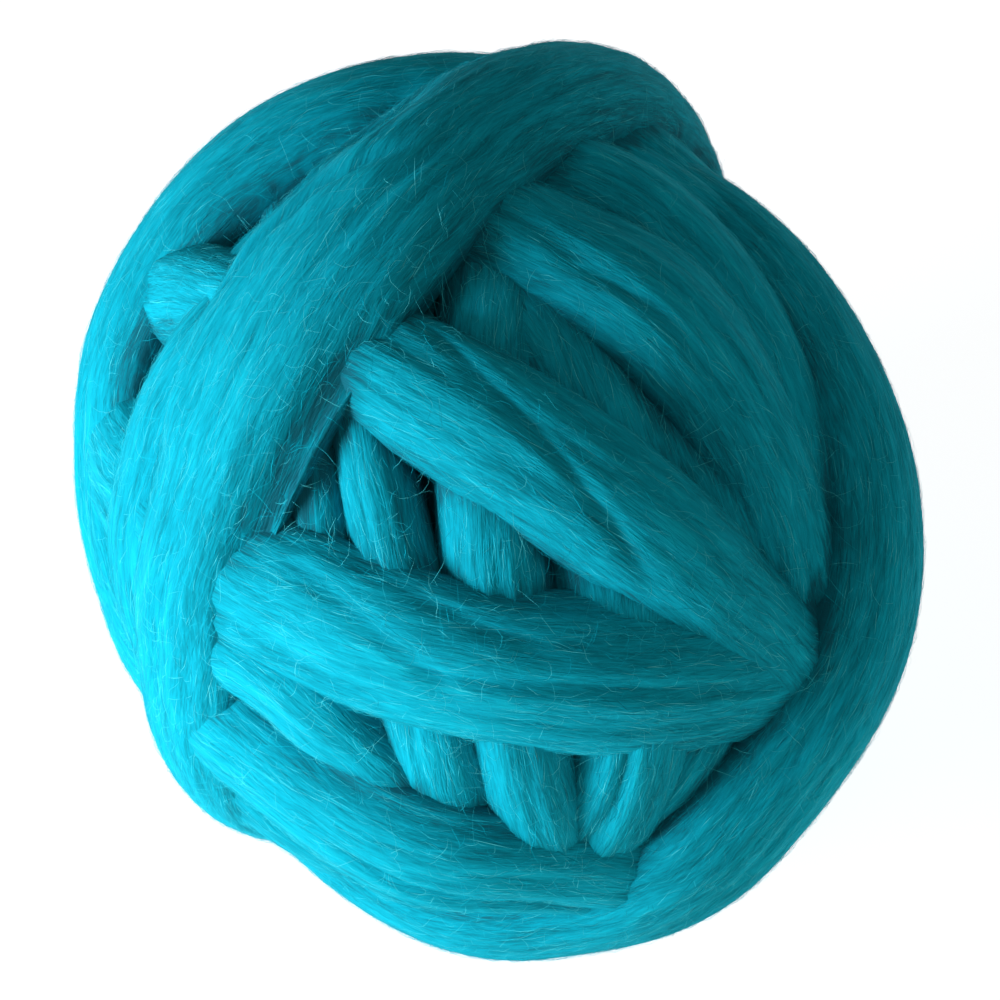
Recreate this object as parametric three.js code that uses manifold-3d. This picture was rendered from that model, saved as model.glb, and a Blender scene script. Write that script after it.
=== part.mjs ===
// A ball of super chunky merino: one thick, unspun strand of wool wound round itself in crossing turns.
// Millimetres, +Z up. The ball rests on a small flat spot at Z = 0, with the origin there, under its centre.
import * as THREE from 'three';
import { mergeVertices } from 'three/addons/utils/BufferGeometryUtils.js';
import Module from 'manifold-3d';

// Driving dimensions.
const BALL_RADIUS = 114;          // mean radius of the wound surface
const LONG_STRETCH = 1.06;        // the ball is a little longer one way than the other
const SHORT_STRETCH = 0.94;
const LONG_WAY_LEAN = 25;         // degrees that the long way leans left of upright on the ball's face
const FACE_ELEVATION = 55;        // degrees above level that the ball's face looks
const FLAT_DEPTH = 9;             // how far the wool settles where it rests
const CORE_RADIUS = 86;           // inner windings, packed too close to show
const STRAND_THICKNESS = 24;      // the soft strand is pressed flat as it is wound
const CORE_OVERLAP = 3;           // how far a turn's underside sinks into the core
const TURN_STEPS = 30;            // steps round each turn
const SECTION_SIDES = 8;          // sides of the strand's section
const CORE_DETAIL = 5;            // divisions of each face of the core
const SHARED_POINT = 1e-3;        // points closer than this are one

// The turns, in the order of winding. Each is a ring round the ball, and its middle passes three places,
// given as [right, up] of the middle of the ball's face, or as [right, up, FAR] on the side that the face
// hides. The three widths are at those places, and so are the lifts, the heights of the strand's middle above
// the core. Away is its height half way round the rest of the ring, where it may sink under the others.
const FAR = -1;
const SUNK = -15;                 // low enough for the turn to vanish in the core
const BURIED = -45;               // deeper still, for a turn that dives steeply
const TURNS = [
  { name: 'far_edge_right', from: [84, 62, FAR], over: [105, 0, FAR], to: [80, -66, FAR],
    widths: [40, 42, 40], lifts: [9, 10, 7], away: SUNK },
  { name: 'far_right', from: [60, 80, FAR], over: [76, 2, FAR], to: [54, -80, FAR],
    widths: [40, 42, 40], lifts: [9, 11, 9], away: SUNK },
  { name: 'far_middle', from: [20, 90, FAR], over: [32, 2, FAR], to: [18, -88, FAR],
    widths: [40, 44, 40], lifts: [10, 12, 10], away: SUNK },
  { name: 'far_left', from: [-20, 90, FAR], over: [-18, 2, FAR], to: [-20, -88, FAR],
    widths: [40, 44, 40], lifts: [9, 11, 9], away: SUNK },
  { name: 'far_edge_left', from: [-62, 76, FAR], over: [-66, 2, FAR], to: [-58, -78, FAR],
    widths: [40, 44, 40], lifts: [9, 10, 8], away: SUNK },
  { name: 'far_slant', from: [80, 60, FAR], over: [0, 22, FAR], to: [-85, -10, FAR],
    widths: [38, 42, 38], lifts: [15, 17, 15], away: SUNK },
  { name: 'far_under', from: [-60, -15, FAR], over: [3, -66, FAR], to: [60, -92, FAR],
    widths: [40, 44, 42], lifts: [17, 17, 9], away: SUNK },
  { name: 'upright_left', from: [-57, 30], over: [-53, 0], to: [-45, -62],
    widths: [18, 20, 20], lifts: [5, 5, 4], away: SUNK },
  { name: 'upright_inner_left', from: [-39, 24], over: [-34, 0], to: [-19, -67],
    widths: [20, 22, 30], lifts: [6, 6, 7], away: SUNK },
  { name: 'upright_middle', from: [-1, 55], over: [0, -12], to: [8, -74],
    widths: [30, 30, 28], lifts: [6, 6, 8], away: SUNK },
  { name: 'upright_inner_right', from: [26, 40], over: [42, -15], to: [40, -77],
    widths: [44, 48, 32], lifts: [6, 7, 8], away: SUNK },
  { name: 'upright_right', from: [56, 21], over: [70, -25], to: [58, -75],
    widths: [36, 34, 30], lifts: [5, 5, 5], away: SUNK },
  { name: 'upright_far_left', from: [-93, 14], over: [-97, -12], to: [-88, -55],
    widths: [30, 38, 36], lifts: [14, 15, 13], away: SUNK },
  { name: 'upright_under_top', from: [-80, 48], over: [-86, 22], to: [-84, -8],
    widths: [22, 24, 22], lifts: [11, 11, 8], away: BURIED },
  { name: 'low_inner', from: [-66, -46], over: [-50, -59], to: [-34, -75],
    widths: [26, 28, 24], lifts: [12, 12, 9], away: SUNK },
  { name: 'low_wide', from: [-65, -25], over: [-6, -45], to: [34, -50],
    widths: [43, 40, 44], lifts: [14, 14, 12], away: 10 },
  { name: 'middle_slant', from: [-77, 58], over: [20, 7], to: [79, -39],
    widths: [28, 38, 30], lifts: [12, 15, 13], away: 9 },
  { name: 'high_rim', from: [44, 96], over: [68, 76], to: [88, 44],
    widths: [28, 32, 28], lifts: [8, 9, 9], away: SUNK },
  { name: 'high_outer', from: [28, 92], over: [47, 80], to: [84, 30],
    widths: [30, 34, 30], lifts: [12, 13, 12], away: BURIED },
  { name: 'high_slant', from: [9, 76], over: [47, 49], to: [86, -10],
    widths: [36, 40, 32], lifts: [13, 19, 11], away: BURIED },
  { name: 'low_curve', from: [-67, -71], over: [-25, -94], to: [27, -106],
    widths: [37, 45, 38], lifts: [15, 18, 12], away: 10 },
  { name: 'left_edge', from: [-24, 113], over: [-101, 50], to: [-109, 8],
    widths: [38, 35, 34], lifts: [17, 18, 15], away: SUNK },
  { name: 'right_edge', from: [98, -20], over: [68, -89], to: [12, -117],
    widths: [38, 50, 38], lifts: [25, 18, 17], away: SUNK },
  { name: 'broad_top', from: [36, 109], over: [-36, 69], to: [-85, -37],
    widths: [36, 50, 38], lifts: [23, 23, 18], away: 13 },
];

const FULL_TURN = 2 * Math.PI;
const radians = THREE.MathUtils.degToRad;
const wasm = await Module();
wasm.setup();

// The face's own directions, and the ball's height over its flat spot.
const elevation = radians(FACE_ELEVATION);
const faceToPart = new THREE.Matrix4().makeBasis(
  new THREE.Vector3(1, 0, 0),
  new THREE.Vector3(0, Math.sin(elevation), Math.cos(elevation)),
  new THREE.Vector3(0, -Math.cos(elevation), Math.sin(elevation)),
);
const lean = radians(LONG_WAY_LEAN);
const stretch = new THREE.Matrix4().makeRotationZ(lean)
  .multiply(new THREE.Matrix4().makeScale(SHORT_STRETCH, LONG_STRETCH, 1))
  .multiply(new THREE.Matrix4().makeRotationZ(-lean));
const unstretch = stretch.clone().invert();
const lowering = new THREE.Matrix4().makeTranslation(0, 0, BALL_RADIUS - FLAT_DEPTH);
const placing = lowering.clone().multiply(faceToPart).multiply(stretch);

// A place on the ball as a direction from its centre.
function onBall([right, up, side = 1]) {
  const place = new THREE.Vector3(right, up, 0).applyMatrix4(unstretch).divideScalar(BALL_RADIUS);
  place.z = side * Math.sqrt(Math.max(0, 1 - place.lengthSq()));
  return place.normalize();
}

// A closed geometry as a solid that can be joined and cut.
function solidOf(geometry) {
  geometry.deleteAttribute('normal');
  geometry.deleteAttribute('uv');
  const merged = mergeVertices(geometry, SHARED_POINT);
  return new wasm.Manifold(new wasm.Mesh({
    numProp: 3,
    vertProperties: new Float32Array(merged.attributes.position.array),
    triVerts: new Uint32Array(merged.index.array),
  }));
}

// A value that eases from one stop to the next round a ring. Each stop is [angle, value].
function easedRound(angle, stops) {
  const next = stops.findIndex(([at]) => angle < at);
  const [[startAngle, startValue], [endAngle, endValue]] = stops.slice(next - 1, next + 1);
  return THREE.MathUtils.lerp(startValue, endValue, THREE.MathUtils.smoothstep(angle, startAngle, endAngle));
}

// One turn of the strand: a ring whose flattened section lies along the ball's surface.
function turnGeometry({ from, over, to, widths, lifts, away }) {
  const [a, b, c] = [from, over, to].map(onBall);
  const axis = b.clone().sub(a).cross(c.clone().sub(a)).normalize();
  const offset = axis.dot(a);
  const start = a.clone().addScaledVector(axis, -offset).normalize();
  const ahead = axis.clone().cross(start);
  const angleOf = (place) => (Math.atan2(place.dot(ahead), place.dot(start)) + FULL_TURN) % FULL_TURN;
  const angles = [0, angleOf(b), angleOf(c), FULL_TURN];
  const halfAway = (angles[2] + FULL_TURN) / 2;
  const widthStops = angles.map((angle, i) => [angle, widths[i % 3]]);
  const liftStops = angles.map((angle, i) => [angle, lifts[i % 3]]);
  liftStops.splice(3, 0, [halfAway, away]);
  const ringRadius = Math.sqrt(1 - offset * offset);
  const geometry = new THREE.TorusGeometry(CORE_RADIUS, STRAND_THICKNESS, SECTION_SIDES, TURN_STEPS);
  const { position, uv } = geometry.attributes;
  for (let i = 0; i < position.count; i++) {
    const along = (uv.getX(i) % 1) * FULL_TURN;
    const around = uv.getY(i) * FULL_TURN;
    const outward = start.clone().multiplyScalar(ringRadius * Math.cos(along))
      .addScaledVector(ahead, ringRadius * Math.sin(along))
      .addScaledVector(axis, offset);
    const across = axis.clone().addScaledVector(outward, -offset).normalize();
    const lifted = easedRound(along, liftStops);
    const radius = CORE_RADIUS + lifted;
    const swing = easedRound(along, widthStops) / 2 * Math.sin(around) / radius;
    const below = Math.max(lifted + CORE_OVERLAP, STRAND_THICKNESS / 2);
    const height = radius + Math.cos(around) * (Math.cos(around) > 0 ? STRAND_THICKNESS / 2 : below);
    const point = outward.multiplyScalar(height * Math.cos(swing))
      .addScaledVector(across, height * Math.sin(swing));
    position.setXYZ(i, point.x, point.y, point.z);
  }
  return geometry.applyMatrix4(placing);
}

// The wound ball: the core and every turn joined, its sealed pockets filled, and cut flat where it rests.
function ballGeometry() {
  const core = solidOf(new THREE.IcosahedronGeometry(CORE_RADIUS, CORE_DETAIL).applyMatrix4(placing));
  const joined = TURNS.reduce((ball, turn) => ball.add(solidOf(turnGeometry(turn))), core);
  const below = solidOf(new THREE.BoxGeometry(4 * BALL_RADIUS, 4 * BALL_RADIUS, BALL_RADIUS)
    .translate(0, 0, -BALL_RADIUS / 2));
  const [ball] = joined.subtract(below).decompose().sort((p, q) => q.volume() - p.volume());
  const mesh = ball.getMesh();
  return new THREE.BufferGeometry()
    .setAttribute('position', new THREE.BufferAttribute(mesh.vertProperties, 3))
    .setIndex(new THREE.BufferAttribute(mesh.triVerts, 1));
}

const wool = new THREE.MeshStandardMaterial({ color: 0x0494a8, roughness: 0.85, metalness: 0 });
const yarnBall = new THREE.Mesh(ballGeometry(), wool);
yarnBall.name = 'yarn_ball';

const part = new THREE.Group();
part.add(yarnBall);
export default part;
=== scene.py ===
# %% [markdown]
# A ball of super chunky merino is one thick strand of combed, unspun wool, wound round itself in crossing
# turns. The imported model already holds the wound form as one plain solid. This lesson gives that form its
# looks: soft strands with creases and combed ridges, single fibres lying along them, and stray fibres on top.
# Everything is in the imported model's own frame, so the solid comes first.

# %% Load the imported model
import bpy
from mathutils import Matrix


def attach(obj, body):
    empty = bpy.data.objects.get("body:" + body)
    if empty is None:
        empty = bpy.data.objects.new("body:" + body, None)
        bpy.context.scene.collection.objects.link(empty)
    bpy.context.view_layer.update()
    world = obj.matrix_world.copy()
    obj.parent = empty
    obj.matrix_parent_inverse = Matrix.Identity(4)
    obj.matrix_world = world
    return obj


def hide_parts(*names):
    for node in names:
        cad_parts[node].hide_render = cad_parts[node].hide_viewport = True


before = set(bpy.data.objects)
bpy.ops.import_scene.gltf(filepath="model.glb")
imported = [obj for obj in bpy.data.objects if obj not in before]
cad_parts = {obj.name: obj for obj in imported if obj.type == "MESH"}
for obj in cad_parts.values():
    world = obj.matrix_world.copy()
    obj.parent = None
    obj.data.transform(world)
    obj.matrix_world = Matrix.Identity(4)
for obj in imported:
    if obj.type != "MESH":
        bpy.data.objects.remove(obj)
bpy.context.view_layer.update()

# %% [markdown]
# The mesh operators model the strands, and nodes give them their wool. Arrays of numbers place many points in
# one go, which a ball of soft strands and thousands of fibres needs.

# %% Tools for the lesson
from collections import namedtuple
from math import cos, pi, radians, sin, sqrt
from types import SimpleNamespace

import bmesh
import bpy
import numpy as np
from mathutils import Matrix, Vector

MM = 0.001
FULL_TURN = 2 * pi
SEED = 11

# %% [markdown]
# The ball rests on a small flat spot. Its face, the side with the clearest winding, looks up at a slant.
# All the winding is described on that face, in millimetres right and up of its middle, as one would measure
# it with a ruler. One matrix then turns and lifts these places into the part's frame.

# %% The ball and its face
BALL_RADIUS = 114.0          # mean radius of the wound surface
CORE_RADIUS = 86.0           # inner windings, packed too close to show
FLAT_DEPTH = 9.0             # how far the wool settles where it rests
FACE_ELEVATION = radians(55)
LONG_WAY_LEAN = radians(25)  # the ball is longer one way, which leans left on its face
STRETCHES = (0.94, 1.06)

face_right = np.array([1.0, 0.0, 0.0])
face_up = np.array([0.0, sin(FACE_ELEVATION), cos(FACE_ELEVATION)])
face_toward = np.array([0.0, -cos(FACE_ELEVATION), sin(FACE_ELEVATION)])
face_to_part = np.column_stack([face_right, face_up, face_toward])
ball_centre = np.array([0.0, 0.0, BALL_RADIUS - FLAT_DEPTH])

lean = np.array([[cos(LONG_WAY_LEAN), -sin(LONG_WAY_LEAN)], [sin(LONG_WAY_LEAN), cos(LONG_WAY_LEAN)]])
stretch = np.eye(3)
stretch[:2, :2] = lean @ np.diag(STRETCHES) @ lean.T
unstretch = np.linalg.inv(stretch)


def placed(points):
    """Points of the round, unstretched ball, in millimetres, as places in the part, in metres."""
    return (points @ (face_to_part @ stretch).T + ball_centre) * MM


print("ball centre, mm:", ball_centre)

# %% [markdown]
# The photograph looks straight at the face from about two metres away. A long lens there keeps the ball's
# roundness true. The camera's own axes are the face's right, up and toward, so one matrix sets it. A
# constraint that tracks the ball would do as well, but needs a second object to aim at.

# %% Camera
CAMERA_DISTANCE = 2000.0
CAMERA_LENS = 277.0
CAMERA_SENSOR = 36.0
CAMERA_REACH = 20.0          # metres
AIM_RIGHT = 1.3
AIM_UP = 0.8

camera = bpy.data.objects.new("camera", bpy.data.cameras.new("camera"))
camera.data.lens = CAMERA_LENS
camera.data.sensor_width = CAMERA_SENSOR
camera.data.clip_end = CAMERA_REACH
aim = ball_centre + AIM_RIGHT * face_right + AIM_UP * face_up
camera_place = (aim + CAMERA_DISTANCE * face_toward) * MM
camera.matrix_world = Matrix.Translation(camera_place) @ Matrix(face_to_part.tolist()).to_4x4()
bpy.context.collection.objects.link(camera)
bpy.context.scene.camera = camera
print("camera at, m:", [round(x, 3) for x in camera_place])

# %% [markdown]
# Wool shows its form by soft shade, so the light is one broad, low lamp on the left, a wide weak one over the
# ball that opens up the shade, and a faint glow from all round. A sun lamp would be simpler, but its shadows
# are too hard for wool. Distances and sizes are in metres, and power is in watts.

# %% Light
Lamp = namedtuple("Lamp", "name toward distance size power colour")
LAMPS = [
    Lamp("key_light", Vector((-0.9, -0.41, 0.15)), 1.0, 0.42, 13.2, (0.88, 0.98, 1.1)),
    Lamp("fill_light", Vector((0.3, -0.1, 0.95)), 1.5, 0.8, 1.9, (1, 1, 0.97)),
]
GLOW = 0.14
GLOW_COLOUR = (0.95, 0.98, 1, 1)

for lamp in LAMPS:
    light = bpy.data.objects.new(lamp.name, bpy.data.lights.new(lamp.name, "AREA"))
    light.data.shape = "DISK"
    light.data.size = lamp.size
    light.data.energy = lamp.power
    light.data.color = lamp.colour
    light.location = Vector(ball_centre * MM) + lamp.toward.normalized() * lamp.distance
    light.rotation_euler = lamp.toward.to_track_quat("Z", "Y").to_euler()
    bpy.context.collection.objects.link(light)
    print(lamp.name, "at, m:", [round(x, 3) for x in light.location])

world = bpy.data.worlds.new("studio")
world.use_nodes = True
world.node_tree.nodes["Background"].inputs["Color"].default_value = GLOW_COLOUR
world.node_tree.nodes["Background"].inputs["Strength"].default_value = GLOW
bpy.context.scene.world = world
bpy.context.scene.view_settings.view_transform = "Standard"

# %% [markdown]
# The ball lies on a plain pale sheet, one large square. Under studio light such a sheet is so bright that it
# lights the ball from below, so it glows. What it gives to the ball and what it shows to the eye are two
# values, because a sheet that lights the ball enough would look too bright or too dull.

# %% Floor
FLOOR_SIZE = 6.0             # metres
FLOOR_COLOUR = (0.5, 0.5, 0.5, 1)
FLOOR_GLOW = 0.85            # light that the floor gives to the ball
FLOOR_SHOWN = 0.88           # light that the floor shows to the eye
FLOOR_LIGHT = (1, 1, 1, 1)
FLOOR_ROUGHNESS = 0.9

bm = bmesh.new()
bmesh.ops.create_grid(bm, x_segments=1, y_segments=1, size=FLOOR_SIZE / 2)
floor_mesh = bpy.data.meshes.new("floor")
bm.to_mesh(floor_mesh)
bm.free()
floor = bpy.data.objects.new("floor", floor_mesh)
bpy.context.collection.objects.link(floor)

floor_paint = bpy.data.materials.new("pale_floor")
floor_paint.use_nodes = True
floor_shader = floor_paint.node_tree.nodes["Principled BSDF"]
floor_shader.inputs["Base Color"].default_value = FLOOR_COLOUR
floor_shader.inputs["Roughness"].default_value = FLOOR_ROUGHNESS
floor_shader.inputs["Emission Color"].default_value = FLOOR_LIGHT
seen = floor_paint.node_tree.nodes.new("ShaderNodeLightPath")
floor_light = floor_paint.node_tree.nodes.new("ShaderNodeMapRange")
floor_light.inputs["To Min"].default_value = FLOOR_GLOW
floor_light.inputs["To Max"].default_value = FLOOR_SHOWN
floor_paint.node_tree.links.new(seen.outputs["Is Camera Ray"], floor_light.inputs["Value"])
floor_paint.node_tree.links.new(floor_light.outputs["Result"], floor_shader.inputs["Emission Strength"])
floor_mesh.materials.append(floor_paint)
print("floor, m across:", FLOOR_SIZE)

# %% [markdown]
# The strand goes round the ball in turns. Each turn is a ring whose middle passes three places on the ball,
# so a row of the table needs only those places, the strand's width at each, and how high it rides over the
# core. A turn that dives under the others has a second height for the rest of its ring. One long curve could
# follow the strand from end to end, but most of it would be hidden guesswork, and a ring is easy to match to
# what shows. The far side is out of the photograph and is wound plainly.

# %% The turns
FAR = -1                     # a place on the side that the face hides
SUNK = -15                   # low enough for the strand to vanish in the core
BURIED = -45                 # deeper still, for a strand that dives steeply
Turn = namedtuple("Turn", "name first over last widths lifts away")
FAR_TURNS = [
    Turn("far_edge_right", (84, 62, FAR), (105, 0, FAR), (80, -66, FAR), (40, 42, 40), (9, 10, 7), SUNK),
    Turn("far_right", (60, 80, FAR), (76, 2, FAR), (54, -80, FAR), (40, 42, 40), (9, 11, 9), SUNK),
    Turn("far_middle", (20, 90, FAR), (32, 2, FAR), (18, -88, FAR), (40, 44, 40), (10, 12, 10), SUNK),
    Turn("far_left", (-20, 90, FAR), (-18, 2, FAR), (-20, -88, FAR), (40, 44, 40), (9, 11, 9), SUNK),
    Turn("far_edge_left", (-62, 76, FAR), (-66, 2, FAR), (-58, -78, FAR), (40, 44, 40), (9, 10, 8), SUNK),
    Turn("far_slant", (80, 60, FAR), (0, 22, FAR), (-85, -10, FAR), (38, 42, 38), (15, 17, 15), SUNK),
    Turn("far_under", (-60, -15, FAR), (3, -66, FAR), (60, -92, FAR), (40, 44, 42), (17, 17, 9), SUNK),
]
UNDER_TURNS = [
    Turn("upright_left", (-57, 30), (-53, 0), (-45, -62), (18, 20, 20), (5, 5, 4), SUNK),
    Turn("upright_inner_left", (-39, 24), (-34, 0), (-19, -67), (20, 22, 30), (6, 6, 7), SUNK),
    Turn("upright_middle", (-1, 55), (0, -12), (8, -74), (30, 30, 28), (6, 6, 8), SUNK),
    Turn("upright_inner_right", (26, 40), (42, -15), (40, -77), (44, 48, 32), (6, 7, 8), SUNK),
    Turn("upright_right", (56, 21), (70, -25), (58, -75), (36, 34, 30), (5, 5, 5), SUNK),
    Turn("upright_far_left", (-93, 14), (-97, -12), (-88, -55), (30, 38, 36), (14, 15, 13), SUNK),
    Turn("upright_under_top", (-80, 48), (-86, 22), (-84, -8), (22, 24, 22), (11, 11, 8), BURIED),
    Turn("low_inner", (-66, -46), (-50, -59), (-34, -75), (26, 28, 24), (12, 12, 9), SUNK),
]
OUTER_TURNS = [
    Turn("low_wide", (-65, -25), (-6, -45), (34, -50), (43, 40, 44), (14, 14, 12), 10),
    Turn("middle_slant", (-77, 58), (20, 7), (79, -39), (28, 38, 30), (12, 15, 13), 9),
    Turn("high_rim", (44, 96), (68, 76), (88, 44), (28, 32, 28), (8, 9, 9), SUNK),
    Turn("high_outer", (28, 92), (47, 80), (84, 30), (30, 34, 30), (12, 13, 12), BURIED),
    Turn("high_slant", (9, 76), (47, 49), (86, -10), (36, 40, 32), (13, 19, 11), BURIED),
    Turn("low_curve", (-67, -71), (-25, -94), (27, -106), (37, 45, 38), (15, 18, 12), 10),
    Turn("left_edge", (-24, 113), (-101, 50), (-109, 8), (38, 35, 34), (17, 18, 15), SUNK),
    Turn("right_edge", (98, -20), (68, -89), (12, -117), (38, 50, 38), (25, 18, 17), SUNK),
    Turn("broad_top", (36, 109), (-36, 69), (-85, -37), (36, 50, 38), (23, 23, 18), 13),
]
TURNS = FAR_TURNS + UNDER_TURNS + OUTER_TURNS
print(len(TURNS), "turns")

# %% [markdown]
# A ring through three places lies in a plane. The plane's axis, and the start of the ring in it, give two
# simple numbers for any place on the strand: the angle along the ring and the angle around the section.
# Widths and heights ease from one place to the next, so the strand has no corners.

# %% Rings
def unit(vectors):
    """These vectors with a length of 1."""
    return vectors / np.linalg.norm(vectors, axis=-1, keepdims=True)


def on_ball(place, radius=BALL_RADIUS):
    """A place on the face as a direction from the ball's centre."""
    right, up, side = (*place, 1)[:3]
    flat = unstretch[:2, :2] @ (right, up) / radius
    return unit(np.array([*flat, side * sqrt(max(0.0, 1 - flat @ flat))]))


def eased(angle, stops):
    """A value that eases from one (angle, value) stop to the next."""
    angles, values = np.array(stops).T
    which = np.clip(np.searchsorted(angles, angle, side="right") - 1, 0, len(angles) - 2)
    share = (angle - angles[which]) / (angles[which + 1] - angles[which])
    return values[which] + (values[which + 1] - values[which]) * share * share * (3 - 2 * share)


def angle_on(ring, directions):
    """Angle along the ring where these directions pass it."""
    return np.arctan2(directions @ ring.ahead, directions @ ring.start) % FULL_TURN


def ring_of(turn):
    """The ring through a turn's three places, with its widths and heights as stops."""
    a, b, c = (on_ball(place) for place in (turn.first, turn.over, turn.last))
    axis = unit(np.cross(b - a, c - a))
    offset = axis @ a
    start = unit(a - axis * offset)
    ring = SimpleNamespace(turn=turn, axis=axis, offset=offset, start=start, ahead=np.cross(axis, start))
    ring.size = sqrt(1 - offset * offset)
    ring.over, ring.last = angle_on(ring, b), angle_on(ring, c)
    angles = (0, ring.over, ring.last, FULL_TURN)
    half_away = (ring.last + FULL_TURN) / 2
    ring.widths = list(zip(angles, turn.widths + turn.widths[:1]))
    ring.lifts = list(zip(angles, turn.lifts + turn.lifts[:1]))
    ring.lifts.insert(3, (half_away, turn.away))
    ring.loop = ring.size * (CORE_RADIUS + max(turn.lifts))
    return ring


rings = [ring_of(turn) for turn in TURNS]
print("longest ring:", max(rings, key=lambda ring: ring.size).turn.name)

# %% [markdown]
# Combed wool isn't smooth. A strand parts into a few locks with soft grooves between them, swells and thins
# along its way, and has fine ridges where fibres lie together. Each of these is a wavy line that closes on
# itself round the ring, so no seam shows. The lines come from a seeded generator, and are the same each run.

# %% Locks, ridges and swelling
FEWEST_LOCKS = 2
LOCK_WIDTH = 12.0            # mean width of the locks that a strand parts into
LOCK_JITTER = 0.12           # how uneven the locks are, for half the strand's width
GROOVE_WANDER = 0.09
GROOVE_WANDER_REPEATS = range(1, 6)
GROOVE_OPENING = 0.45
GROOVE_OPENING_REPEATS = range(2, 9)
GROOVE_DEPTHS = (1.0, 2.4)
GROOVE_SPREADS = (1.2, 2.4)
RIDGE_PITCHES = (3.4, 4.6, 6.1, 8.3)
RIDGE_SIZE = 0.1
RIDGE_UNEVENNESS = (0.6, 1.2)
RIDGE_WANDER = 2.2
RIDGE_REPEATS = range(1, 14)
SWELL_SIZE = 0.55
SWELL_REPEATS = range(2, 12)
FLOW_SIZE = 1.1              # how far the combing wanders across a strand
FLOW_REPEATS = range(5, 26, 3)
COMBING_SHIFT = 500.0        # no two turns show the same stretch of combing
LEAST_WAVE = 0.4             # smallest share of its size that a wave may have
Groove = namedtuple("Groove", "middle wander opening depth spread")
Ridge = namedtuple("Ridge", "pitch size phase wander")


def wavy_line(rng, size, repeats):
    """Waves that repeat a whole number of times round a ring, as (repeats, size, phase)."""
    return [(k, size * rng.uniform(LEAST_WAVE, 1) / sqrt(k), rng.uniform(0, FULL_TURN)) for k in repeats]


def wavy(line, along):
    """Value of a wavy line at these angles."""
    return sum(size * np.cos(k * along + phase) for k, size, phase in line)


def comb(ring, rng):
    """Gives a ring its own grooves, ridges and swelling."""
    locks = max(FEWEST_LOCKS, round(max(ring.turn.widths) / LOCK_WIDTH))
    ring.apart = rng.uniform(0, COMBING_SHIFT)
    ring.swell = wavy_line(rng, SWELL_SIZE, SWELL_REPEATS)
    ring.grooves = []
    for i in range(1, locks):
        middle = (2 * i / locks - 1) + rng.uniform(-LOCK_JITTER, LOCK_JITTER)
        wander = wavy_line(rng, GROOVE_WANDER, GROOVE_WANDER_REPEATS)
        opening = wavy_line(rng, GROOVE_OPENING, GROOVE_OPENING_REPEATS)
        depth = rng.uniform(*GROOVE_DEPTHS)
        ring.grooves.append(Groove(middle, wander, opening, depth, rng.uniform(*GROOVE_SPREADS)))
    ring.ridges = []
    for pitch in RIDGE_PITCHES:
        size = RIDGE_SIZE * rng.uniform(*RIDGE_UNEVENNESS)
        phase = rng.uniform(0, FULL_TURN)
        ring.ridges.append(Ridge(pitch, size, phase, wavy_line(rng, RIDGE_WANDER, RIDGE_REPEATS)))
    ring.flow = wavy_line(rng, FLOW_SIZE, FLOW_REPEATS)


for number, ring in enumerate(rings):
    comb(ring, np.random.default_rng(SEED + number))
print("grooves:", sum(len(ring.grooves) for ring in rings))

# %% [markdown]
# The clearest creases of the photograph are listed, each along three places on the face. The places
# become a curve over the strand's own ring, so a crease follows the strand. One with a depth below zero is a
# lock that stands up. A deep crease starts and ends gently.

# %% Creases
STRAND_THICKNESS = 24.0
CREASE_FADE = 0.1            # radians over which a shallow crease starts and ends
DEEP_FADE = 0.055            # the same for each millimetre of a deep one
Crease = namedtuple("Crease", "turn first over last depth spread")
CREASES = [
    Crease("left_edge", (-25, 107), (-38, 98), (-58, 80), 9.0, 5.5),
    Crease("broad_top", (-22, 107), (-36, 97), (-58, 77), 5.0, 4.5),
    Crease("broad_top", (-24, 89), (-52, 76), (-72, 54), 2.8, 1.8),
    Crease("broad_top", (-5, 92), (-33, 79), (-52, 67), 1.2, 3.0),
    Crease("broad_top", (-38, 95), (-66, 67), (-85, 18), -3.0, 6.0),
    Crease("broad_top", (-34, 44), (-62, 0), (-75, -40), 4.5, 5.0),
    Crease("middle_slant", (-22, 63), (24, 27), (64, -12), -4.0, 10.0),
    Crease("middle_slant", (-19, 46), (17, 10), (38, -18), 1.5, 1.8),
    Crease("middle_slant", (-13, 48), (24, 20), (56, -14), 1.4, 1.6),
    Crease("high_slant", (16, 67), (38, 50), (63, 23), 1.6, 1.8),
    Crease("high_slant", (40, 58), (60, 38), (76, 10), 1.4, 2.0),
    Crease("low_wide", (-52, -16), (-33, -29), (-11, -46), 1.6, 2.2),
    Crease("low_wide", (-40, -13), (-7, -30), (14, -38), 1.4, 2.0),
    Crease("low_wide", (-56, -37), (-46, -43), (-28, -49), 1.5, 2.2),
    Crease("low_curve", (-58, -66), (-22, -84), (12, -92), 1.4, 2.4),
    Crease("low_curve", (-50, -80), (-14, -101), (18, -108), 1.2, 2.2),
]


def across_on(ring, directions, lifted):
    """How far from the middle of a strand these directions meet it."""
    swing = np.arccos(ring.offset) - np.arccos(np.clip(directions @ ring.axis, -1, 1))
    return swing * (CORE_RADIUS + lifted)


def crease_on(ring, crease):
    """A crease as a curve over its ring: its middle angle, its two ends from there, and its way across."""
    top = CORE_RADIUS + max(ring.turn.lifts) + STRAND_THICKNESS / 2
    directions = np.array([on_ball(place, top) for place in (crease.first, crease.over, crease.last)])
    along = angle_on(ring, directions)
    ahead = (along - along[1] + pi) % FULL_TURN - pi
    curve = np.polyfit(ahead, across_on(ring, directions, eased(along, ring.lifts)), 2)
    return SimpleNamespace(crease=crease, middle=along[1], ends=sorted(ahead[[0, 2]]), curve=curve)


for ring in rings:
    ring.creases = [crease_on(ring, crease) for crease in CREASES if crease.turn == ring.turn.name]
print("creases:", sum(len(ring.creases) for ring in rings))

# %% [markdown]
# The relief of a strand is the sum of all these: its swelling, less the grooves and the creases, plus the
# ridges. One function gives it for any place on the strand, so the mesh and the fibres on it agree.

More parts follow.
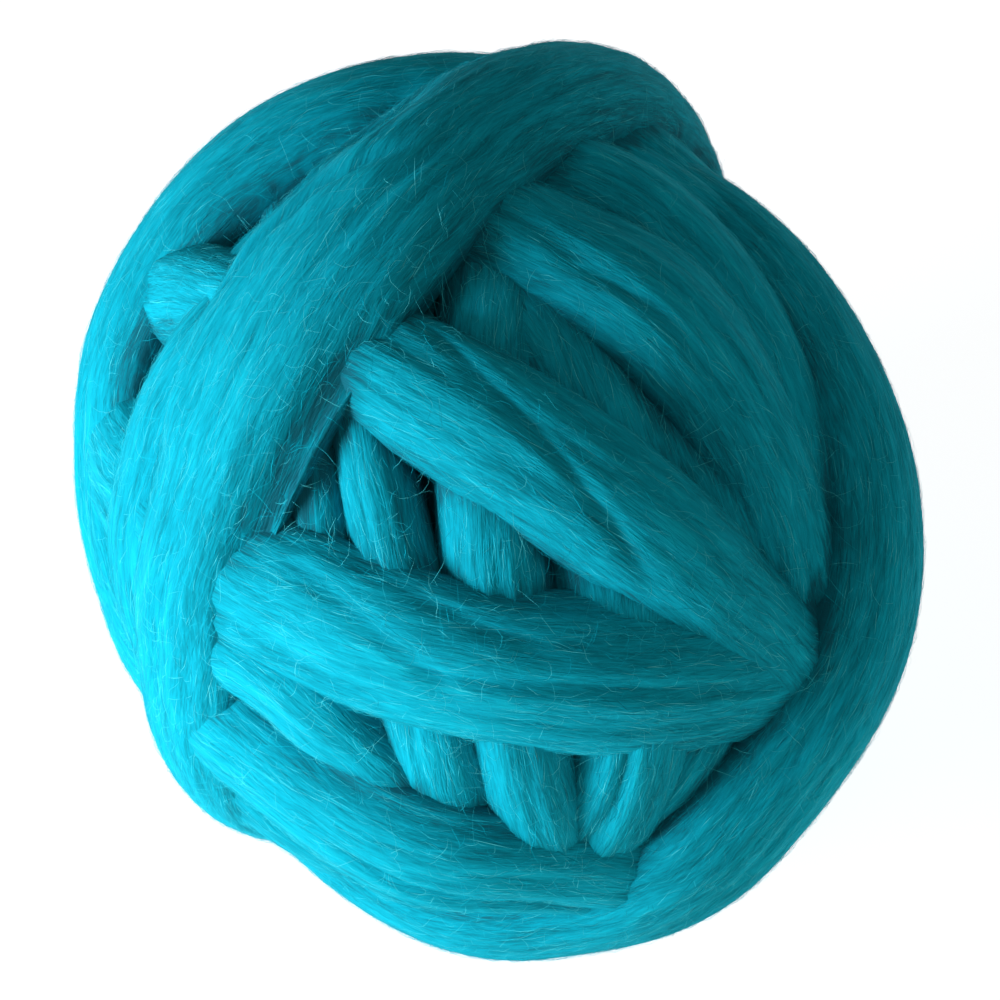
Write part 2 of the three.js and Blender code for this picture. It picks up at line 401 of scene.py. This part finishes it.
# %% Relief
GROOVE_SHUT = -0.5           # values of a groove's opening where it is just shut and quite open
GROOVE_OPEN = 0.8


def smooth_step(low, high, value):
    """A step from 0 to 1 that starts and ends gently."""
    share = np.clip((value - low) / (high - low), 0, 1)
    return share * share * (3 - 2 * share)


def relief(ring, along, across, width):
    """Height of the locks and ridges over the plain strand, across millimetres from its middle."""
    height = wavy(ring.swell, along)
    for groove in ring.grooves:
        middle = (groove.middle + wavy(groove.wander, along)) * width / 2
        opened = smooth_step(GROOVE_SHUT, GROOVE_OPEN, wavy(groove.opening, along))
        height = height - groove.depth * opened * np.exp(-((across - middle) / groove.spread) ** 2)
    for line in ring.creases:
        ahead = (along - line.middle + pi) % FULL_TURN - pi
        inside = np.minimum(ahead - line.ends[0], line.ends[1] - ahead)
        slope = max(CREASE_FADE, DEEP_FADE * abs(line.crease.depth))
        fade = smooth_step(-slope / 2, slope / 2, inside)
        aside = (across - np.polyval(line.curve, np.clip(ahead, *line.ends))) / line.crease.spread
        height = height - line.crease.depth * fade * np.exp(-aside * aside)
    for ridge in ring.ridges:
        slide = ridge.phase + wavy(ridge.wander, along)
        height = height + ridge.size * np.sin(FULL_TURN * across / ridge.pitch + slide)
    return height


broad = rings[-1]
broad_relief = relief(broad, broad.over, 0.0, broad.turn.widths[1])
print("relief at the middle of", broad.turn.name, "in mm:", round(float(broad_relief), 2))

# %% [markdown]
# Now a point on a strand can be placed from its two angles. The top of the section is a low crown that
# carries the relief. The bottom sinks into the core, where nothing shows.

# %% Points on a strand
CORE_OVERLAP = 3.0
CROWN = 1.3                  # over 1 makes the top of the section rounder and its sides less steep
RELIEF_EDGE = 0.45           # relief fades out where the section is lower than this share of its crown


def sizes_at(ring, along):
    """Height of the strand's middle over the core, and its width, at these angles."""
    lifted = eased(along % FULL_TURN, ring.lifts)
    return lifted, eased(along % FULL_TURN, ring.widths)


def crown_height(ring, along, across, width, plain=False):
    """Height of the top of the strand over its own middle, with or without its relief."""
    level = np.sqrt(np.clip(1 - (2 * across / width) ** 2, 0, 1))
    crown = STRAND_THICKNESS / 2 * level ** CROWN
    if plain:
        return crown
    return crown + smooth_step(0, RELIEF_EDGE, level) * relief(ring, along, across, width)


def strand_points(ring, along, across, height):
    """Points at a height from the ball's centre, across millimetres from the middle of the strand."""
    lifted, _ = sizes_at(ring, along)
    outward = np.cos(along)[..., None] * ring.start + np.sin(along)[..., None] * ring.ahead
    outward = ring.size * outward + ring.axis * ring.offset
    sideways = unit(ring.axis - outward * ring.offset)
    swing = (across / (CORE_RADIUS + lifted))[..., None]
    return height[..., None] * (outward * np.cos(swing) + sideways * np.sin(swing))


def section_points(ring, along, around, raised=0.0):
    """Points on the strand's surface, or raised off it, and how far across the strand they lie."""
    lifted, width = sizes_at(ring, along)
    across = width / 2 * np.sin(around)
    top = crown_height(ring, along, across, width)
    bottom = np.cos(around) * np.maximum(lifted + CORE_OVERLAP, STRAND_THICKNESS / 2)
    height = CORE_RADIUS + lifted + np.where(np.cos(around) > 0, top, bottom)
    facing = unit(np.stack([np.sin(around) * STRAND_THICKNESS, np.cos(around) * width], axis=-1))
    shifted = across + raised * facing[..., 0]
    return strand_points(ring, along, shifted, height + raised * facing[..., 1]), across


broad_top, _ = section_points(broad, np.array([broad.over]), np.zeros(1))
print("top of", broad.turn.name, "in mm from the centre:", round(float(np.linalg.norm(broad_top)), 1))

# %% [markdown]
# The same rule turned round gives the height of a strand under any direction from the centre. The highest of
# all strands there is the one that shows. The fibres need this, to lie on the wool and never inside it.

# %% Height of the wool
def height_under(ring, directions, plain=False):
    """Height of the top of a strand in these directions, or nothing where it isn't there."""
    along = angle_on(ring, directions)
    lifted, width = sizes_at(ring, along)
    across = across_on(ring, directions, lifted)
    height = CORE_RADIUS + lifted + crown_height(ring, along, across, width, plain)
    return np.where(np.abs(across) < width / 2, height, 0.0)


def top_height(directions, without=None, plain=False):
    """Height of the ball's surface in these directions, and the number of the strand that makes it."""
    height = np.full(directions.shape[:-1], CORE_RADIUS)
    owner = np.full(directions.shape[:-1], -1)
    for number, ring in enumerate(rings):
        if ring is without:
            continue
        under = height_under(ring, directions, plain)
        owner = np.where(under > height, number, owner)
        height = np.maximum(under, height)
    return height, owner


highest = max(height_under(ring, ring.start * ring.size + ring.axis * ring.offset) for ring in rings)
print("highest start of a turn, mm from the centre:", round(float(highest), 1))

# %% [markdown]
# Two strands that meet leave a crevice. The lamps shade it, and the colour adds painted shade there too,
# with a soft border, so that a crevice is darker than its depth alone would make it. An ambient occlusion
# node finds such places too, but works slowly and with noise. Here, how deep a point lies below the wool
# beside it, looked up a few millimetres off on all sides, is worked out once for each point, and the
# painted shade uses it later.

# %% Crevices, for painted shade
CREVICE_REACH = 5.0
CREVICE_DEPTH = 8.5
CREVICE_SIDES = 6
SIDE_GUIDE = (0.3, 0.2, 1.0)  # the first side lies square to this way


def crevice_shade_mask(points):
    """How deep these points lie below the strands beside them, from 0 to 1, the mask of the painted shade."""
    outward = unit(points)
    level = unit(np.cross(outward, SIDE_GUIDE))
    upright = np.cross(outward, level)
    beside = np.zeros(points.shape[:-1])
    for turned in np.arange(CREVICE_SIDES) * FULL_TURN / CREVICE_SIDES:
        step = CREVICE_REACH * (cos(turned) * level + sin(turned) * upright)
        beside = np.maximum(beside, top_height(unit(points + step), plain=True)[0])
    return smooth_step(0, CREVICE_DEPTH, beside - np.linalg.norm(points, axis=-1))


print("crevice at the face's middle:", round(float(crevice_shade_mask(np.array([0.0, 0.0, CORE_RADIUS]))), 2))

# %% [markdown]
# Each turn starts as a circle that is spun into a closed ring, which is the shape of a strand that meets
# itself. A curve with a bevel would give a ring too, but the spun one has the same points in each section, so
# they are easy to move. A ring that reaches below the floor is cut off there and closed, for the flat spot.

# %% Plain rings
RING_RADIUS = 10.0
SECTION_RADIUS = 3.0
SAME_POINT = 1e-4            # points closer than this are one


def spun_ring(steps, sides):
    """A plain closed ring with a round section."""
    bm = bmesh.new()
    upright = Matrix.Translation((RING_RADIUS, 0, 0)) @ Matrix.Rotation(pi / 2, 4, "X")
    bmesh.ops.create_circle(bm, cap_ends=False, segments=sides, radius=SECTION_RADIUS, matrix=upright)
    bmesh.ops.spin(bm, geom=bm.verts[:] + bm.edges[:], cent=(0, 0, 0), axis=(0, 0, 1), dvec=(0, 0, 0),
                   angle=FULL_TURN, steps=steps, use_merge=True, use_duplicate=False)
    bmesh.ops.remove_doubles(bm, verts=bm.verts, dist=SAME_POINT)
    return bm


def cut_flat(bm):
    """Cuts a closed shape off at the floor and closes the cut."""
    geometry = bm.verts[:] + bm.edges[:] + bm.faces[:]
    bmesh.ops.bisect_plane(bm, geom=geometry, plane_co=(0, 0, 0), plane_no=(0, 0, 1), clear_inner=True)
    bmesh.ops.holes_fill(bm, edges=[edge for edge in bm.edges if edge.is_boundary], sides=0)


print("plain ring, radius and section:", RING_RADIUS, SECTION_RADIUS)

# %% [markdown]
# The points of a plain ring are moved by their two angles onto the ball. Most of them are kept for the top of
# the section and for the part of the ring that shows. Each point also stores its way along the combing and
# its depth in a crevice, from which the colour paints shade there.

# %% Strands
TOP_SHARE = 0.84             # share of the section's points that lie on its top half
SHOWN_SHARE = 0.85           # share of a ring's points that lie where it isn't sunk
SHOWN_MARGIN = 0.3           # how far the shown part runs on into the rest of the ring
FAR_FINENESS = (110, 38)     # steps round a ring, and sides of its section
UNDER_FINENESS = (100, 38)
OUTER_FINENESS = (190, 52)


def angle_along(ring, share):
    """Angle along the ring for an even share of its steps."""
    if ring.turn.away > SUNK:
        return share * FULL_TURN
    margin = SHOWN_MARGIN * (FULL_TURN - ring.last)
    stops = (-margin, ring.last + margin, FULL_TURN - margin)
    return np.interp(share, (0, SHOWN_SHARE, 1), stops)


def strand(ring, steps, sides):
    """One strand in its place on the ball."""
    bm = spun_ring(steps, sides)
    places = np.array([vert.co for vert in bm.verts])
    out = np.hypot(places[:, 0], places[:, 1]) - RING_RADIUS
    along = angle_along(ring, np.arctan2(places[:, 1], places[:, 0]) / FULL_TURN % 1)
    raw_around = np.arctan2(places[:, 2], out) / pi
    around = np.sign(raw_around) * np.interp(np.abs(raw_around), (0, TOP_SHARE, 1), (0, pi / 2, pi))
    points, across = section_points(ring, along, around)
    combed_across = across + wavy(ring.flow, along + across / ring.loop) + ring.apart
    lie = np.column_stack([ring.loop * np.cos(along), ring.loop * np.sin(along), combed_across])
    lie_layer = bm.verts.layers.float_vector.new("lie")
    painted_shade_layer = bm.verts.layers.float.new("shade")
    # Painted shade: each point stores its depth in a crevice, and its colour darkens by it.
    for vert, point, way, shade in zip(bm.verts, placed(points), lie, crevice_shade_mask(points)):
        vert.co = point
        vert[lie_layer] = way
        vert[painted_shade_layer] = shade
    cut_flat(bm)
    bmesh.ops.recalc_face_normals(bm, faces=bm.faces)
    return bm


def piece(name, mesh):
    """A finished mesh as a piece of the ball."""
    made = bpy.data.objects.new(name, mesh)
    bpy.context.collection.objects.link(made)
    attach(made, "root")
    mesh.shade_smooth()
    triangles = sum(len(face.vertices) - 2 for face in mesh.polygons)
    print(name, len(mesh.vertices), "points,", triangles, "triangles")
    return made


def strands(name, some_rings, steps, sides):
    """Several strands joined as one piece, which stands for the solid."""
    joined = bmesh.new()
    for ring in some_rings:
        bm = strand(ring, steps, sides)
        single = bpy.data.meshes.new("strand")
        bm.to_mesh(single)
        bm.free()
        joined.from_mesh(single)
        bpy.data.meshes.remove(single)
    mesh = bpy.data.meshes.new(name)
    joined.to_mesh(mesh)
    joined.free()
    made = piece(name, mesh)
    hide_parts("yarn_ball")
    return made


far_count, under_count = len(FAR_TURNS), len(FAR_TURNS) + len(UNDER_TURNS)
far_strands = strands("far_strands", rings[:far_count], *FAR_FINENESS)
under_strands = strands("under_strands", rings[far_count:under_count], *UNDER_FINENESS)
outer_strands = strands("outer_strands", rings[under_count:], *OUTER_FINENESS)

# %% [markdown]
# Under the turns lies the core, the strand's first windings. It only shows in the deepest gaps, dark there
# from the lamps' shade and from the full painted shade that it carries, so a plain ball is enough, cut flat
# with the rest.

# %% Core
CORE_DIVISIONS = 5

bm = bmesh.new()
bmesh.ops.create_icosphere(bm, subdivisions=CORE_DIVISIONS, radius=CORE_RADIUS)
lie_layer = bm.verts.layers.float_vector.new("lie")
painted_shade_layer = bm.verts.layers.float.new("shade")
for vert in bm.verts:
    vert[lie_layer] = vert.co
    # The whole core takes the full painted shade.
    vert[painted_shade_layer] = 1
    vert.co = placed(np.array(vert.co))
cut_flat(bm)
core_mesh = bpy.data.meshes.new("core")
bm.to_mesh(core_mesh)
bm.free()
core = piece("core", core_mesh)
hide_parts("yarn_ball")

# %% [markdown]
# The strand is made of single fibres, and the eye reads wool by them. Tens of thousands are needed, so each
# is a slim, low needle of a few points, and all the needles of a piece are one mesh made from arrays. Each
# needle is shaded like the wool it lies on, leaning a little to one side, and throws no shadow of its own,
# because real fibres are far too thin to throw one that shows. Hair curves could draw the fibres as well, but
# a mesh can leave with the part.

# %% Needles
NEEDLE_RIDGE = 0.5           # height of a needle's ridge, for half its width
NEEDLE_KEEL = 0.2
NEEDLE_TAPER = 0.6


def needles(name, points, facing, tilt, thickness, tones):
    """One mesh of needles. Points has a row of places for each needle, in the round ball's millimetres."""
    count, places = points.shape[:2]
    ahead = unit(np.gradient(points, axis=1))
    side = unit(np.cross(ahead, facing))
    out = np.cross(side, ahead)
    taper = np.sin(pi * np.linspace(0, 1, places)) ** NEEDLE_TAPER
    radius = (thickness[:, None] / 2 * taper)[..., None]
    ridge = points + NEEDLE_RIDGE * radius * out
    left = points + radius * (side - NEEDLE_KEEL * out)
    right = points - radius * (side + NEEDLE_KEEL * out)
    rims = np.stack([ridge, left, right], axis=2)[:, 1:-1].reshape(count, -1, 3)
    verts = np.concatenate([points[:, :1], rims, points[:, -1:]], axis=1)
    per_needle = verts.shape[1]
    faces = [(0, 1 + (i + 1) % 3, 1 + i) for i in range(3)]
    for ring_start in range(1, per_needle - 4, 3):
        for i in range(3):
            a, b = ring_start + i, ring_start + (i + 1) % 3
            faces += [(a, b, b + 3), (a, b + 3, a + 3)]
    tip = per_needle - 1
    faces += [(tip, tip - 3 + i, tip - 3 + (i + 1) % 3) for i in range(3)]
    all_faces = (np.array(faces)[None] + per_needle * np.arange(count)[:, None, None]).reshape(-1, 3)
    mesh = bpy.data.meshes.new(name)
    mesh.from_pydata(placed(verts.reshape(-1, 3)), [], all_faces)
    tone = mesh.attributes.new("tone", "FLOAT", "POINT")
    tone.data.foreach_set("value", np.repeat(tones, per_needle).astype(np.float32))
    made = piece(name, mesh)
    leaning = facing + tilt[:, None, None] * side
    rims_leaning = np.repeat(leaning[:, 1:-1], 3, axis=1)
    normals = np.concatenate([leaning[:, :1], rims_leaning, leaning[:, -1:]], axis=1).reshape(-1, 3)
    mesh.normals_split_custom_set_from_vertices(unit(normals @ face_to_part.T))
    made.visible_shadow = False
    return made


# %% [markdown]
# Most fibres lie along the strand as the comb left them, a little off its way, some of them worn pale. They
# are thrown evenly over the top and sides of each strand, because combed wool has no order across its width.
# Those that another strand or the floor covers are left out, and those in a crevice get painted shade.

# %% Combed fibres
FIBRES_PER_CM2 = 72.0
FAR_FIBRES_PER_CM2 = 45.0
FIBRE_LENGTHS = (3.5, 14.0)
FIBRE_POINTS = 3
FIBRE_LEAN = 0.13            # how far a fibre strays off the strand's way, for its length
FIBRE_LIFT = 0.9
FIBRE_LOW = 0.3              # lowest share of that lift, before it is squared
FIBRE_TUCK = 0.05
FIBRE_THICKNESS = (0.07, 0.14)
FIBRE_TILT = 0.45            # how far a fibre's lit side turns to one side or the other
FIBRE_TONE = 0.53
FIBRE_TONE_SPREAD = 0.22
PALE_SHARE = 0.15            # share of the fibres that are worn pale
PALE_LIFT = 0.35
FIBRE_AROUND = radians(104)  # how far down the strand's sides the fibres lie
PAINTED_SHADE_DROP = 0.45            # how much painted shade darkens a tone in a deep crevice
CLEAR_OF_FLOOR = 0.4
CLEAR_SHARE = 0.55           # share of a fibre's points that no other strand covers
RING_SAMPLES = 200
MM2_PER_CM2 = 100
FIBRE_SEED = SEED + 100


def combed(ring, per_cm2, rng):
    """Fibres on one strand, where it shows: their points, facings, tilts, thicknesses and tones."""
    steps = np.linspace(0, FULL_TURN, RING_SAMPLES)
    _, widths = sizes_at(ring, steps)
    count = int(FULL_TURN * ring.loop * widths.mean() / MM2_PER_CM2 * per_cm2)
    along = rng.uniform(0, FULL_TURN, (count, 1))
    around = rng.uniform(-FIBRE_AROUND, FIBRE_AROUND, (count, 1))
    length = rng.uniform(*FIBRE_LENGTHS, (count, 1))
    slant = rng.laplace(0, FIBRE_LEAN, (count, 1))
    bow = rng.normal(0, FIBRE_LEAN, (count, 1))
    tilt = rng.normal(0, FIBRE_TILT, count)
    thickness = rng.uniform(*FIBRE_THICKNESS, count)
    tones = rng.normal(FIBRE_TONE, FIBRE_TONE_SPREAD, count) + PALE_LIFT * (rng.random(count) < PALE_SHARE)
    step = np.linspace(-0.5, 0.5, FIBRE_POINTS)
    along = along + step * length / ring.loop
    around = around + (slant * step + bow * step * step) * length / (widths.mean() / 2)
    raised = FIBRE_LIFT * rng.uniform(FIBRE_LOW, 1, (count, 1)) ** 2 * (1 - 4 * step * step) - FIBRE_TUCK
    points, _ = section_points(ring, along, around, raised)
    higher, _ = section_points(ring, along, around, raised + 1)
    height = np.linalg.norm(points, axis=-1)
    cover, _ = top_height(unit(points), without=ring, plain=True)
    shows = (height > cover).mean(axis=1) > CLEAR_SHARE
    above_floor = placed(points)[..., 2].min(axis=1) > CLEAR_OF_FLOOR * MM
    keep = shows & above_floor
    points = points[keep]
    # Painted shade: a fibre in a crevice gets a darker tone.
    tones = tones[keep] - PAINTED_SHADE_DROP * crevice_shade_mask(points[:, FIBRE_POINTS // 2])
    return points, unit(higher[keep] - points), tilt[keep], thickness[keep], tones


def combed_piece(name, some_rings, per_cm2=FIBRES_PER_CM2):
    """The combed fibres of several strands as one piece."""
    made = []
    for ring in some_rings:
        made.append(combed(ring, per_cm2, np.random.default_rng(FIBRE_SEED + rings.index(ring))))
    return needles(name, *(np.concatenate(parts) for parts in zip(*made)))


far_fibres = combed_piece("far_fibres", rings[:far_count], FAR_FIBRES_PER_CM2)
under_fibres = combed_piece("under_fibres", rings[far_count:under_count])
outer_fibres_a = combed_piece("outer_fibres_a", rings[under_count::2])
outer_fibres_b = combed_piece("outer_fibres_b", rings[under_count + 1::2])

# %% [markdown]
# Some fibres always work loose. They lie over the strands at all angles, curl, and bridge the gaps between
# one turn and the next, which makes the dark gaps look soft. Each starts near its strand's way and bends.

# %% Stray fibres
FACE_STRAYS = 10800
FAR_STRAYS = 4000
STRAY_POINTS = 5
STRAY_LENGTHS = (2.0, 11.0)
STRAY_SKEW = 0.6             # under 1 makes more of them short
STRAY_SPREAD = 0.7           # radians off the strand's way
STRAY_CURL = 0.16            # radians of bend for each millimetre
STRAY_WIGGLE = 0.28          # radians of bend at random at each point
STRAY_TILT = 0.5
STRAY_LIFTS = (0.2, 0.9)
STRAY_THICKNESS = (0.05, 0.09)
STRAY_TONE = 0.82
STRAY_TONE_SPREAD = 0.16
STRAY_SEED = SEED + 500


def stray(count, side_of_ball):
    """Stray fibres on the face's side of the ball, or on the far side for -1."""
    rng = np.random.default_rng(STRAY_SEED + side_of_ball)
    middle = unit(rng.normal(size=(count, 3)))
    middle[:, 2] = side_of_ball * np.abs(middle[:, 2])
    _, owner = top_height(middle)
    axes = np.array([ring.axis for ring in rings])[owner]
    way = unit(np.cross(axes, middle))
    side = np.cross(middle, way)
    length = STRAY_LENGTHS[0] + (STRAY_LENGTHS[1] - STRAY_LENGTHS[0]) * rng.power(STRAY_SKEW, count)
    heading = rng.normal(0, STRAY_SPREAD, count)
    curl = rng.normal(0, STRAY_CURL, count)
    wiggle = rng.normal(0, STRAY_WIGGLE, (count, STRAY_POINTS)).cumsum(axis=1)
    step = np.linspace(-0.5, 0.5, STRAY_POINTS)
    bearing = heading[:, None] + (curl * length)[:, None] * step + wiggle
    stride = (length / (STRAY_POINTS - 1) / BALL_RADIUS)[:, None]
    run = np.cumsum(np.cos(bearing) * stride, axis=1)
    drift = np.cumsum(np.sin(bearing) * stride, axis=1)
    run -= run.mean(axis=1, keepdims=True)
    drift -= drift.mean(axis=1, keepdims=True)
    directions = unit(middle[:, None] + run[..., None] * way[:, None] + drift[..., None] * side[:, None])
    height, _ = top_height(directions)
    bridge = height[:, :1] + (height[:, -1:] - height[:, :1]) * (step + 0.5)
    arch = rng.uniform(*STRAY_LIFTS, (count, 1)) * (1 - 4 * step * step)
    points = directions * (np.maximum(height, bridge) + arch)[..., None]
    keep = placed(points)[..., 2].min(axis=1) > CLEAR_OF_FLOOR * MM
    tilt = rng.normal(0, STRAY_TILT, count)
    thickness = rng.uniform(*STRAY_THICKNESS, count)
    tones = rng.normal(STRAY_TONE, STRAY_TONE_SPREAD, count)
    return points[keep], directions[keep], tilt[keep], thickness[keep], tones[keep]


face_strays = needles("face_strays", *stray(FACE_STRAYS, 1))
far_strays = needles("far_strays", *stray(FAR_STRAYS, -1))

# %% [markdown]
# One dye colours everything, so its colour is a node group that the strands and the fibres share. It turns
# a tone from 0 to 1 into deep, dark, middle, pale or worn wool, and adds the faint patches that a dye bath
# leaves. The deep colour is mostly painted shade, which the tones reach in a crevice.

# %% Dye
# The deepest colour is mostly painted shade for crevices; the darkest streaks and fibres reach it too.
DEEP_DYE_AND_PAINTED_SHADE = (0.008, 0.15, 0.19, 1)
DARK_DYE = (0.002, 0.25, 0.31, 1)
MIDDLE_DYE = (0.003, 0.39, 0.49, 1)
PALE_DYE = (0.005, 0.50, 0.60, 1)
WORN_DYE = (0.09, 0.70, 0.72, 1)
DYE_STOPS = [(0.2, DARK_DYE), (0.5, MIDDLE_DYE), (0.78, PALE_DYE)]
PATCHES_PER_METRE = 28
PATCH_DETAIL = 3
PATCH_STRENGTH = 0.3

dye = bpy.data.node_groups.new("dyed_wool", "ShaderNodeTree")
dye.interface.new_socket("Place", in_out="INPUT", socket_type="NodeSocketVector")
dye.interface.new_socket("Tone", in_out="INPUT", socket_type="NodeSocketFloat")
dye.interface.new_socket("Colour", in_out="OUTPUT", socket_type="NodeSocketColor")
dye_in = dye.nodes.new("NodeGroupInput")
dye_out = dye.nodes.new("NodeGroupOutput")
patches = dye.nodes.new("ShaderNodeTexNoise")
patches.inputs["Scale"].default_value = PATCHES_PER_METRE
patches.inputs["Detail"].default_value = PATCH_DETAIL
patch_shift = dye.nodes.new("ShaderNodeMath")
patch_shift.operation = "MULTIPLY_ADD"
patch_shift.inputs[1].default_value = PATCH_STRENGTH
shift_back = dye.nodes.new("ShaderNodeMath")
shift_back.operation = "SUBTRACT"
shift_back.inputs[1].default_value = PATCH_STRENGTH / 2
shades = dye.nodes.new("ShaderNodeValToRGB")
shades.color_ramp.elements[0].color = DEEP_DYE_AND_PAINTED_SHADE
shades.color_ramp.elements[1].color = WORN_DYE
for stop, dyed in DYE_STOPS:
    shades.color_ramp.elements.new(stop).color = dyed
dye.links.new(dye_in.outputs["Place"], patches.inputs["Vector"])
dye.links.new(patches.outputs["Fac"], patch_shift.inputs[0])
dye.links.new(dye_in.outputs["Tone"], patch_shift.inputs[2])
dye.links.new(patch_shift.outputs[0], shift_back.inputs[0])
dye.links.new(shift_back.outputs[0], shades.inputs["Fac"])
dye.links.new(shades.outputs["Color"], dye_out.inputs["Colour"])
print("dye group:", len(dye.nodes), "nodes")

# %% [markdown]
# Wool is rough and hardly glossy, with a faint sheen of its own colour. Strands and fibres share this recipe.
# The dye's patches are tied to the place on the ball, so that they run on from a strand to its fibres.

# %% Wool
WOOL_ROUGHNESS = 0.78
WOOL_GLOSS = 0.03
SHEEN = 0.1
SHEEN_ROUGHNESS = 0.4
SHEEN_TINT = (0.0, 0.6, 0.75, 1)


def wool(name):
    """A wool material, and those of its nodes that are still to be joined up."""
    material = bpy.data.materials.new(name)
    material.use_nodes = True
    tree = material.node_tree
    shader = tree.nodes["Principled BSDF"]
    shader.inputs["Roughness"].default_value = WOOL_ROUGHNESS
    shader.inputs["Specular IOR Level"].default_value = WOOL_GLOSS
    shader.inputs["Sheen Weight"].default_value = SHEEN
    shader.inputs["Sheen Roughness"].default_value = SHEEN_ROUGHNESS
    shader.inputs["Sheen Tint"].default_value = SHEEN_TINT
    colour = tree.nodes.new("ShaderNodeGroup")
    colour.node_tree = dye
    place = tree.nodes.new("ShaderNodeTexCoord")
    tree.links.new(place.outputs["Object"], colour.inputs["Place"])
    tree.links.new(colour.outputs["Colour"], shader.inputs["Base Color"])
    return material, tree, shader, colour


# %% [markdown]
# A strand shows its combing as streaks. They are noise drawn out along the strand at three sizes, which
# colours the wool and raises it in bumps too fine for the mesh. The noise reads the way that each strand
# stores, so the streaks follow every bend, and the stored depth paints shade on the wool in a crevice.

# %% Combed wool of the strands
STREAK_BEND = 0.35
STREAK_DETAIL = 2
FINE_STREAKS = (5, 0.42)     # lengths along and across the strand, mm
MIDDLE_STREAKS = (13, 0.9)
BROAD_STREAKS = (36, 2.6)
MIDDLE_SHARE = 0.4
BROAD_SHARE = 0.38
DARKEST_STREAK = 0.26        # values of the combing that give the tones 0 and 1
PALEST_STREAK = 0.76
BUMP_HEIGHT = 0.6


def streaks(tree, lie, along, across):
    """Noise drawn out along the strand, with its lengths along and across in millimetres."""
    mapping = tree.nodes.new("ShaderNodeMapping")
    mapping.inputs["Scale"].default_value = (1 / along, 1 / along, 1 / across)
    noise = tree.nodes.new("ShaderNodeTexNoise")
    noise.inputs["Scale"].default_value = 1
    noise.inputs["Detail"].default_value = STREAK_DETAIL
    noise.inputs["Distortion"].default_value = STREAK_BEND
    tree.links.new(lie.outputs["Vector"], mapping.inputs["Vector"])
    tree.links.new(mapping.outputs["Vector"], noise.inputs["Vector"])
    return noise.outputs["Fac"]


def mixed(tree, first, second, share):
    """A share of the second value in the first."""
    mix = tree.nodes.new("ShaderNodeMix")
    mix.inputs["Factor"].default_value = share
    tree.links.new(first, mix.inputs["A"])
    tree.links.new(second, mix.inputs["B"])
    return mix.outputs["Result"]


strand_wool, tree, shader, colour = wool("combed_merino")
lie = tree.nodes.new("ShaderNodeAttribute")
lie.attribute_name = "lie"
fine = mixed(tree, streaks(tree, lie, *FINE_STREAKS), streaks(tree, lie, *MIDDLE_STREAKS), MIDDLE_SHARE)
combing = mixed(tree, fine, streaks(tree, lie, *BROAD_STREAKS), BROAD_SHARE)
contrast = tree.nodes.new("ShaderNodeMapRange")
contrast.inputs["From Min"].default_value = DARKEST_STREAK
contrast.inputs["From Max"].default_value = PALEST_STREAK
tree.links.new(combing, contrast.inputs["Value"])
# Painted shade: the stored depth in a crevice darkens the tone.
shade = tree.nodes.new("ShaderNodeAttribute")
shade.attribute_name = "shade"
painted_shade = tree.nodes.new("ShaderNodeMath")
painted_shade.operation = "MULTIPLY_ADD"
painted_shade.inputs[1].default_value = -PAINTED_SHADE_DROP
tree.links.new(shade.outputs["Fac"], painted_shade.inputs[0])
tree.links.new(contrast.outputs["Result"], painted_shade.inputs[2])
tree.links.new(painted_shade.outputs[0], colour.inputs["Tone"])
bump = tree.nodes.new("ShaderNodeBump")
bump.inputs["Strength"].default_value = 1
bump.inputs["Distance"].default_value = BUMP_HEIGHT * MM
tree.links.new(combing, bump.inputs["Height"])
tree.links.new(bump.outputs["Normal"], shader.inputs["Normal"])
for made in (core, far_strands, under_strands, outer_strands):
    made.data.materials.append(strand_wool)
print(strand_wool.name, len(tree.nodes), "nodes")

# %% [markdown]
# A fibre is too thin for streaks. It has one tone for its whole length, stored in its mesh, so a single
# material serves thousands of fibres that all differ.

# %% Wool of the fibres
fibre_wool, tree, shader, colour = wool("merino_fibre")
# The stored tone already holds the painted shade of a fibre in a crevice.
tone = tree.nodes.new("ShaderNodeAttribute")
tone.attribute_name = "tone"
tree.links.new(tone.outputs["Fac"], colour.inputs["Tone"])
for made in (far_fibres, under_fibres, outer_fibres_a, outer_fibres_b, face_strays, far_strays):
    made.data.materials.append(fibre_wool)
print(fibre_wool.name, len(tree.nodes), "nodes")
